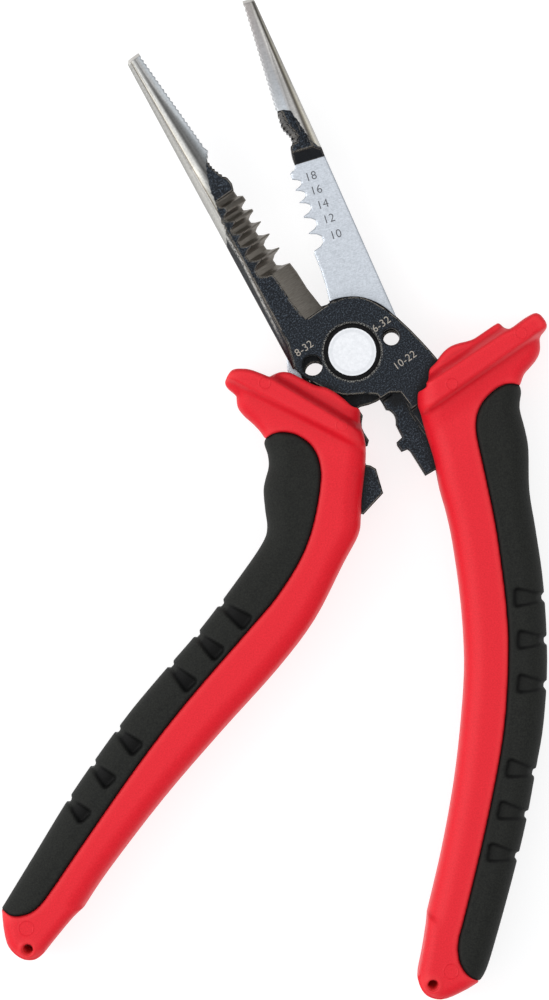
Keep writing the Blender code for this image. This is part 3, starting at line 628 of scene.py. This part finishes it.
def red_plastic():
    """Satin red moulding with a fine spark-eroded grain and the mould's round marks; painted shade in creases
    and on walls facing the jaws, painted highlights on crests and on walls facing away, and painted light in
    the lanyard holes.
    """
    s = Shader("red_plastic")
    at = s.lever(0)
    x, y, _ = s.split(at)
    across, along, up = s.split(s.normal(0))
    hands = HANDS.values()

    grain = s.noise(at, 3.4, 3.0, 0.65)
    color = s.ramp(grain, (0.3, RED_DEEP), (0.7, RED_PALE))
    color = s.mix(s.times(s.noise(at, 0.16, 2.0), 0.35), color, RED_MIDDLE)
    shut = s.shut_in(CREASE_REACH)
    # painted shade: the moulding is darkened in its creases and hollows
    color = s.mix(s.times(s.under(shut, 0.84, 0.13), 0.6), color, RED_CREASE_SHADE)
    # painted shade on walls that face the jaws
    color = s.mix(s.times(s.over(along, 0.42, 0.22), 0.5), color, RED_WALL_SHADE)
    # painted light on side walls that face down and away from the jaws
    sideways = s.math("ADD", s.times(across, SIDE_WAY[0]), s.times(along, SIDE_WAY[1]))
    side = s.times(s.over(sideways, 0.8, 0.15), s.near(up, 0.0, 0.5, 0.2))
    color = s.mix(s.times(side, 0.4), color, RED_SIDE_LIGHT)
    # painted highlight: convex crests are lightened
    crest = s.under(s.shut_in(CREST_HIGHLIGHT_REACH, inside=True), 0.78, 0.14)
    color = s.mix(s.times(crest, 0.35), color, RED_CREST_HIGHLIGHT)

    bore = 0.0
    for hand in hands:
        bore = s.math("ADD", bore, s.under(s.away(x, y, hand["hole"]), BORE_REACH))
    bore = s.times(bore, s.near(up, 0.0, 0.5))
    # painted light: the shaded walls of the lanyard holes are made brighter
    s.set("Base Color", s.mix(s.times(bore, s.under(shut, 0.6)), color, RED_BORE_LIGHT))
    s.set("Roughness", s.blend(bore, s.blend(grain, 0.42, 0.54), 1.0))
    s.set("Specular IOR Level", 0.28)

    small = ring_marks(s, x, y, [mark for hand in hands for mark in hand["moulding_marks"]], SMALL_MARK)
    large = ring_marks(s, x, y, [hand["tail_mark"] for hand in hands], LARGE_MARK)
    s.bump(s.math("MULTIPLY_ADD", grain, 0.22, s.math("ADD", small, large)), 0.35, 0.0003)
    return s.material


def black_rubber():
    """Matte soft-touch rubber with a close grain, with painted shade down in the notches and along the seam.
    """
    s = Shader("black_rubber")
    at = s.lever(0)
    grain = s.noise(at, 3.0, 3.0, 0.7)
    color = s.ramp(grain, (0.34, (0.0018, 0.0022, 0.0015)), (0.68, (0.0175, 0.0187, 0.0152)))
    color = s.mix(s.times(s.noise(at, 0.12, 2.0), 0.3), color, (0.011, 0.0115, 0.0102))
    # painted shade of the notches and seam, read from the mesh
    notch = s.add("ShaderNodeAttribute", attribute_name="notch").outputs["Fac"]
    s.set("Base Color", s.mix(s.times(notch, 0.88), color, (0.0012, 0.0012, 0.0012)))
    s.set("Roughness", s.blend(grain, 0.62, 0.8))
    s.set("Specular IOR Level", 0.25)
    s.bump(grain, 0.25, 0.0002)
    return s.material


# Steel, in a lever's own frame and in millimetres.
JOINT_TOP = 13.0              # no jaw grinding below this height along the jaws
BLADE = (10.7, 41.3)          # the bevelled blade lies between these heights
BEVEL_LEAN = (0.672, 0.741)   # a direction that lies in the bevel, across the jaw and out of it
LAP = (-6.0, 41.0)            # the bright face towards the other lever lies between these
NOSE_LOW = 41.2               # the rear nose starts here
TIP = 74.75                   # the rounded end of the jaws
GROOVE = (2.0, 5.85)          # radii of the groove round the rivet's head, blackened and darkened with painted shade
CHIPPED = 6.25                # chips in the finish reach this far out from it
PLAIN_EDGE_RADIUS = 6.9                  # and edges within this radius get no pale edge lines
EDGE = 0.75                   # how far the edge marks reach in: worn lines with painted highlight, and painted shade rims
# The screw-shearing holes of each lever: (place, reach of the dark ring round them).
HOLES = {-1: (((-8.25, 2.4), 3.3), ((8.3, -2.05), 2.9)), 1: ()}
# How far each nose's gripping face and outer side are from the lever's middle: (face, root, taper).
NOSE_SIDES = {-1: (0.7, 12.39, 0.1145), 1: (-0.45, 11.76, 0.131)}
NOSE_TINTS_AND_REFLECTIONS = {   # heat tints across each nose, with painted reflections of its ground facets: highlights and dark bands
    -1: ((0.0, (0.44, 0.46, 0.48)), (0.12, (0.40, 0.42, 0.44)), (0.20, (0.34, 0.36, 0.37)),
         (0.30, (0.30, 0.30, 0.30)), (0.38, (0.27, 0.27, 0.265)), (0.45, (0.20, 0.20, 0.195)),
         (0.50, (0.20, 0.20, 0.195)), (0.55, (0.22, 0.22, 0.215)), (0.60, (0.25, 0.25, 0.24)),
         (0.66, (0.30, 0.295, 0.28)), (0.72, (0.38, 0.365, 0.325)), (0.745, (0.10, 0.085, 0.065)),
         (0.79, (0.43, 0.42, 0.40)), (0.86, (0.54, 0.53, 0.50)), (1.0, (0.36, 0.355, 0.34))),
    1: ((0.0, (0.29, 0.30, 0.31)), (0.20, (0.285, 0.30, 0.315)), (0.38, (0.27, 0.29, 0.31)),
        (0.48, (0.30, 0.30, 0.30)), (0.55, (0.42, 0.41, 0.395)), (0.62, (0.62, 0.60, 0.57)),
        (0.68, (0.60, 0.58, 0.55)), (0.72, (0.44, 0.42, 0.395)), (0.76, (0.14, 0.13, 0.115)),
        (0.80, (0.075, 0.068, 0.055)), (0.85, (0.20, 0.185, 0.15)), (0.89, (0.38, 0.36, 0.31)),
        (1.0, (0.28, 0.275, 0.265))),
}
# Where each jaw's bright grinding ends: (height along the jaw, distance across it).
PATCH = {
    -1: ((24.0, -13.0), (30.0, -9.8), (35.0, -7.1), (38.0, -6.4), (43.0, -5.0), (46.0, -3.9), (48.2, -2.7),
         (49.9, -1.4), (50.8, 2.0), (52.0, 6.0)),
    1: ((40.8, 9.0), (42.4, 5.6), (44.0, 4.6), (46.0, 3.9), (48.0, 3.4), (50.0, 2.7), (51.0, 2.3),
        (51.5, 1.0), (51.9, -3.0), (53.0, -6.0)),
}
DARK_JOINT = {-1: 0.0, 1: 11.5}      # each lap face is blackened within this radius
# painted shade for rims, walls, recesses and shadowed places
SHADOW = (0.0025, 0.0025, 0.003)
GROOVE_OXIDE_AND_SHADE = (0.003, 0.003, 0.003)
TIP_GREY = (0.56, 0.54, 0.51)
# pale tan of the edges: worn finish with painted highlight
WORN_AND_HIGHLIT_TAN = (0.34, 0.30, 0.245)
CHIP_GREY = (0.33, 0.32, 0.29)


class Lever(Shader):
    """One lever's steel, whose looks go by the place in the lever's own frame."""

    def __init__(self, name, degrees, hand):
        super().__init__(name)
        self.hand = hand              # -1 for the front lever and 1 for the rear one
        self.at = self.lever(degrees)
        self.x, self.y, self.z = self.split(self.at)
        self.across, _, self.up = self.split(self.normal(degrees))
        self.height = self.times(self.z, -hand)      # from the lap plane to the lever's outer face
        self.radius = self.away(self.x, self.y)
        self.lines = self.noise(self.scaled(self.at, (0.5, 9.0, 0.5)), 1.0, 4.0, 0.65)   # grinding marks

    def bevel(self):
        """The blade's ground bevel: the faces whose direction is square to its lean."""
        lean = self.math("ADD", self.times(self.across, BEVEL_LEAN[0] * self.hand),
                         self.times(self.up, -BEVEL_LEAN[1] * self.hand))
        return self.times(self.near(lean, 0.0, 0.25, 0.08), self.over(self.y, BLADE[0]),
                          self.under(self.y, BLADE[1], 0.2), self.over(self.height, 0.05, 0.05))

    def jaw(self):
        """The bright ground part of the jaw, which ends unevenly."""
        limit = self.follow(self.y, *PATCH[self.hand])
        wobble = self.math("MULTIPLY_ADD", self.noise(self.at, 1.1, 3.0, 0.65), 1.1, -0.55)
        past = self.times(self.math("SUBTRACT", self.math("ADD", self.x, wobble), limit), self.hand)
        return self.times(self.over(past, 0.0, 0.08), self.over(self.y, JOINT_TOP, 1.0))

    def lap(self):
        """The bright face towards the other lever, outside the blackened joint."""
        inward = self.under(self.times(self.up, -self.hand), -0.8)
        return self.times(inward, self.under(self.height, 0.4, 0.05), self.under(self.y, LAP[1], 0.3),
                          self.over(self.radius, DARK_JOINT[self.hand]), self.over(self.y, LAP[0]))

    def nose_share(self):
        """Distance across the nose: 0 at its gripping face and 1 at its outer side."""
        face, root, taper = NOSE_SIDES[self.hand]
        whole = self.math("MULTIPLY_ADD", self.y, -taper, root - face)
        return self.math("DIVIDE", self.math("MULTIPLY_ADD", self.x, self.hand, -face), whole)

    def dark_reflection_band(self, share):
        """The front nose's painted dark reflection band: crisp on its outer side, fading inwards and wider at
        the root.
        """
        middle, crisp = 0.44, 0.14
        spread = self.follow(self.y, (44.0, 0.50), (53.0, 0.42), (57.0, 0.36), (60.0, 0.28), (64.0, 0.18),
                             (68.0, 0.10), (74.0, 0.05))
        inwards = self.math("DIVIDE", self.math("SUBTRACT", middle, share), spread)
        outwards = self.math("MULTIPLY_ADD", share, 1 / crisp, -middle / crisp)
        dark = self.follow(self.most(inwards, outwards), (0.0, 0.27), (0.3, 0.32), (0.6, 0.52), (1.0, 1.0))
        return self.blend(self.times(self.over(self.y, 70.0, 5.0), 0.45), dark, 1.0)

    def ground(self):
        """Bright ground steel: the nose with heat tints and painted reflection bands, and the rear lever's
        flat below it with painted shade at the foot of the nose's step.
        """
        share = self.nose_share()
        streaks = self.math("MULTIPLY_ADD", self.lines, 0.5, 0.75)
        bands = self.shade(self.ramp(share, *NOSE_TINTS_AND_REFLECTIONS[self.hand]), streaks)
        if self.hand < 0:
            return self.shade(bands, self.dark_reflection_band(share))
        bands = self.shade(bands, self.follow(self.y, (47.0, 1.5), (52.0, 1.4), (57.0, 1.1), (65.0, 1.0),
                                              (74.0, 0.74)))
        bands = self.mix(self.times(self.over(self.y, 72.0, 4.0), 0.6), bands, (0.26, 0.245, 0.22))
        warm = self.times(self.over(self.y, 60.0, 12.0), self.under(share, 0.5), 0.7)
        bands = self.mix(warm, bands, (0.30, 0.275, 0.265))
        flat = self.ramp(self.lines, (0.3, (0.36, 0.385, 0.42)), (0.7, (0.50, 0.53, 0.57)))
        # painted shade at the foot of the step up to the rear nose
        step_shade = self.inverse(self.times(self.over(self.y, 40.6, 0.5), 0.6))
        return self.mix(self.over(self.y, NOSE_LOW), self.shade(flat, step_shade), bands)

    def oxide(self):
        """Blackened steel, blue-black with paler worn specks, and the specks."""
        specks = self.noise(self.at, 3.4, 4.0, 0.74)
        color = self.ramp(specks, (0.38, (0.0015, 0.002, 0.003)), (0.52, (0.009, 0.012, 0.017)),
                          (0.68, (0.078, 0.10, 0.127)))
        broad = self.times(self.noise(self.at, 0.35, 2.0), 0.15)
        return self.mix(broad, color, (0.007, 0.009, 0.013)), specks

    def flush_seam(self):
        """Where the front shank runs flush into the joint plate."""
        return self.times(self.near(self.y, 11.0, 0.9, 0.2), self.under(self.x, -3.6, 0.2),
                          self.over(self.x, -9.6, 0.4), self.over(self.up, 0.9, 0.05))

    def die_root(self):
        """Where the front die's root lies in the plate's shadow."""
        return self.times(self.under(self.z, 4.2, 0.2), self.near(self.y, -12.4, 2.3, 0.9),
                          self.over(self.x, 0.4, 0.7), self.under(self.x, 5.0, 0.3))

    def below_plate(self):
        """Where the rear joint plate lies in the front one's shadow."""
        return self.times(self.near(self.y, -10.0, 2.6, 0.5), self.over(self.z, -1.0),
                          self.under(self.x, 3.0, 2.0), 0.8)

    def corner_streaks(self, color, dull):
        """The front shank's outer corner: a grey band with broken pale streaks along it."""
        _, root, taper = NOSE_SIDES[self.hand]       # the shank runs on in the nose's own line
        inset = self.math("ADD", self.x, self.math("MULTIPLY_ADD", self.y, -taper, root))
        middle = self.follow(self.y, (5.0, 0.45), (15.0, 0.9), (28.0, 1.3), (37.0, 0.8))
        scuff = self.noise(self.scaled(self.at, (3.6, 1.2, 3.6)), 1.0, 4.0, 0.8)
        off = self.math("ABSOLUTE", self.math("SUBTRACT", inset, middle))
        streaks = self.times(self.under(off, 0.2, 0.2), self.over(scuff, 0.47, 0.05),
                             self.over(self.y, 12.0, 6.0))
        band = self.times(self.under(inset, 0.9, 0.3), self.over(inset, 0.3),
                          self.over(self.y, 14.0, 8.0), 0.45)
        color = self.mix(self.times(band, dull), color, (0.05, 0.05, 0.045))
        return self.mix(self.times(streaks, dull), color, (0.48, 0.47, 0.44))

    def worn(self, line):
        """Pale edge lines: finish worn through, with painted highlight along them, away from the holes."""
        wear = self.noise(self.at, 0.9, 3.0, 0.65)
        found = self.times(line, self.over(wear, 0.42, 0.08), self.over(self.radius, PLAIN_EDGE_RADIUS))
        for centre, reach in HOLES[self.hand]:
            found = self.times(found, self.over(self.away(self.x, self.y, centre), reach))
        return found


def steel(name, degrees, hand):
    """A lever: bright ground jaw, blackened joint and root, and brown ground bevels, with painted shade along
    edges, walls and recesses and under the front plate.
    """
    s = Lever(name, degrees, hand)
    front = hand < 0
    bevel = s.bevel()
    shiny = s.most(s.jaw(), s.lap())
    dull = s.inverse(s.most(shiny, bevel))
    tip = s.over(s.y, TIP, 0.12)

    oxide, specks = s.oxide()
    mottle = s.follow(s.noise(s.at, 2.6, 4.0, 0.75), (0.3, 0.80), (0.5, 1.0), (0.7, 1.15))
    ground = s.mix(tip, s.shade(s.ground(), mottle), TIP_GREY)
    brown = s.ramp(s.lines, (0.3, (0.15, 0.132, 0.11)), (0.7, (0.27, 0.25, 0.22)))
    color = s.mix(bevel, s.mix(shiny, oxide, ground), brown)
    # the groove's blackened chamfer, darkened further with painted shade
    groove = s.times(s.over(s.radius, GROOVE[0]), s.under(s.radius, GROOVE[1], 0.08))
    color = s.mix(groove, color, GROOVE_OXIDE_AND_SHADE)

    line, rim, round_normal = s.edges(EDGE)
    walls = s.near(s.up, 0.0, 0.5)
    recess = s.under(s.shut_in(2.5), 0.78, 0.16)
    if front:
        seam = s.inverse(s.flush_seam())
        line, rim = s.times(line, seam), s.times(rim, seam)
        root = s.die_root()
    shadow = root if front else s.below_plate()
    # painted shade: rims along the edges, side walls, recesses and the places under the front plate are
    # darkened
    color = s.mix(s.times(s.most(rim, walls, recess, shadow), dull, 0.85), color, SHADOW)
    if front:
        color = s.corner_streaks(color, dull)

    worn = s.times(s.worn(line), dull)
    if front:   # the die's pale edge lines, worn and painted highlight, are fainter than the plate's and gone in its root's painted shadow
        sunk = s.times(s.under(s.z, 3.95, 0.05), s.under(s.y, -8.0, 0.3))
        worn = s.times(worn, s.math("MULTIPLY_ADD", sunk, -0.65, 1.0), s.inverse(root))
    # pale edge lines: worn finish with painted highlight
    color = s.mix(s.times(worn, 0.7), color, WORN_AND_HIGHLIT_TAN)
    chips = s.times(s.over(s.radius, GROOVE[1]), s.under(s.radius, CHIPPED, 0.15), s.over(specks, 0.53, 0.04))
    color = s.mix(s.times(chips, dull, 0.7), color, CHIP_GREY)

    s.set("Base Color", color)
    s.set("Metallic", s.blend(tip, s.blend(dull, 1.0, 0.5), 0.2))
    finish = s.blend(shiny, s.blend(specks, 0.45, 0.3), s.blend(s.lines, 0.26, 0.38))
    s.set("Roughness", s.blend(bevel, finish, 0.42))
    s.set("Specular IOR Level", 0.25)
    s.bump(s.blend(shiny, specks, s.lines), 0.06, 0.0001, round_normal)
    return s.material


def rivet_steel():
    """Bright mottled steel, with a faint darker ring near the head's rim."""
    s = Shader("rivet_steel")
    at = s.lever(0)
    x, y, _ = s.split(at)
    radius = s.away(x, y)
    mottle = s.noise(at, 1.6, 4.0, 0.7)
    color = s.ramp(mottle, (0.35, (0.60, 0.61, 0.63)), (0.65, (0.69, 0.70, 0.72)))
    ring_line = s.times(s.over(radius, 4.0, 0.15), s.under(radius, 4.6, 0.12))
    s.set("Base Color", s.mix(s.times(ring_line, 0.35), color, (0.47, 0.48, 0.50)))
    s.set("Metallic", 1.0)
    s.set("Roughness", s.blend(mottle, 0.3, 0.42))
    return s.material


def ink(name, color):
    s = Shader(name)
    s.set("Base Color", s.mix(s.noise(s.lever(0), 4.0, 2.0), color, tuple(c * 0.75 for c in color)))
    s.set("Roughness", 0.6)
    return s.material


# Steel -------------------------------------------------------------------------------------

GAUGE_HEIGHT, SCREW_HEIGHT = 1.8, 1.6      # heights of the numbers
REAR_FACE, FRONT_FACE = -0.13, PLATE + 0.02    # just above each lever's face


def dress_steel(node, material):
    """Gives a steel node its material, on flat faces with crisp edges."""
    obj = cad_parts[node]
    obj.data.materials.clear()
    obj.data.materials.append(material)
    flat = obj.modifiers.new("flat_faces", "DECIMATE")
    flat.decimate_type = "DISSOLVE"
    flat.angle_limit = math.radians(1.5)


def number(text, centre, height, degrees, z, material, body):
    """A number marked on the steel: a thin flat mesh just above the face."""
    curve = bpy.data.curves.new("number_" + text, "FONT")
    curve.body = text
    curve.size = height * 1.38 * MM
    curve.align_x = "CENTER"
    curve.align_y = "CENTER"
    curve.space_character = 1.04
    curve.offset = -0.006 * height * MM
    curve.extrude = 0.012 * MM
    curve.resolution_u = 3
    obj = new_object("number_" + text.replace("-", "_"), evaluated_mesh(new_object("text", curve)))
    obj.data.materials.clear()
    obj.data.materials.append(material)
    (x, y), = turned([centre], degrees)
    obj.location = (x * MM, y * MM, LAP_PLANE + z * MM)
    obj.rotation_euler.z = math.radians(degrees)
    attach(obj, body)


def numbers():
    """Wire gauges beside the rear lever's notches, and screw sizes and a wire range on the front one."""
    dark = ink("dark_mark", (0.10, 0.105, 0.115))
    pale = ink("pale_mark", (0.42, 0.385, 0.33))
    for text, centre in (("18", (2.5, 37.0)), ("16", (2.75, 34.0)), ("14", (3.15, 30.8)),
                         ("12", (3.5, 27.6)), ("10", (3.9, 24.1))):
        number(text, centre, GAUGE_HEIGHT, REAR_TURN, REAR_FACE, dark, "rear_side")
    for text, centre in (("8-32", (-7.7, 6.2)), ("6-32", (8.1, 1.2)), ("10-22", (7.8, -7.6))):
        number(text, centre, SCREW_HEIGHT, FRONT_TURN, FRONT_FACE, pale, "front_side")


# Stage -------------------------------------------------------------------------------------

FLOOR_GAP = 0.0003                        # metres from the tool down to the floor
MIDDLE = Vector((-0.016, -0.03, 0))       # what the lights aim at


def area_light(name, place_at, size, power):
    light = bpy.data.lights.new(name, "AREA")
    light.shape = "RECTANGLE"
    light.size, light.size_y = size
    light.energy = power
    obj = bpy.data.objects.new(name, light)
    obj.location = place_at
    obj.rotation_euler = (MIDDLE - Vector(place_at)).to_track_quat("-Z", "Y").to_euler()
    bpy.context.scene.collection.objects.link(obj)


def stage():
    """A pale floor, three soft lights and an even studio world."""
    body = bmesh.new()
    bmesh.ops.create_grid(body, x_segments=1, y_segments=1, size=3.0)
    mesh = bpy.data.meshes.new("floor")
    body.to_mesh(mesh)
    body.free()
    floor = new_object("floor", mesh)
    floor.location.z = cad_box[0][2] - FLOOR_GAP
    s = Shader("pale_floor")
    s.set("Base Color", (0.32, 0.32, 0.32))
    s.set("Roughness", 0.9)
    s.set("Specular IOR Level", 0.1)
    s.set("Emission Color", (1.0, 1.0, 1.0))
    s.set("Emission Strength", 0.78)
    mesh.materials.append(s.material)

    area_light("overhead", (-0.3, -0.02, 1.1), (1.5, 1.5), 7.2)
    area_light("left_strip", (-0.9, 0.0, 0.55), (0.4, 1.2), 4.5)
    area_light("right_strip", (0.9, 0.1, 0.4), (0.35, 1.2), 1.2)
    world = bpy.data.worlds.new("studio")
    world.use_nodes = True
    background = world.node_tree.nodes["Background"]
    background.inputs["Color"].default_value = (0.95, 0.97, 1.0, 1)
    background.inputs["Strength"].default_value = 0.5
    bpy.context.scene.world = world
    bpy.context.scene.view_settings.view_transform = "Standard"


def camera():
    """Looks straight down on the open tool through a long lens."""
    data = bpy.data.cameras.new("camera")
    data.sensor_fit = "VERTICAL"
    data.sensor_height = 24.0
    distance, tall = 1.3, 0.2053
    data.lens = data.sensor_height * distance / tall
    obj = bpy.data.objects.new("camera", data)
    obj.location = (-0.0159, -0.0303, LAP_PLANE + distance)
    bpy.context.scene.collection.objects.link(obj)
    bpy.context.scene.camera = obj


red, black = red_plastic(), black_rubber()
for side in HANDS:
    grip(side, red)
    pad(side, black)
dress_steel("front_lever", steel("blackened_steel", FRONT_TURN, -1))
dress_steel("rear_lever", steel("ground_steel", REAR_TURN, 1))
dress_steel("pivot_rivet", rivet_steel())
numbers()
stage()
camera()
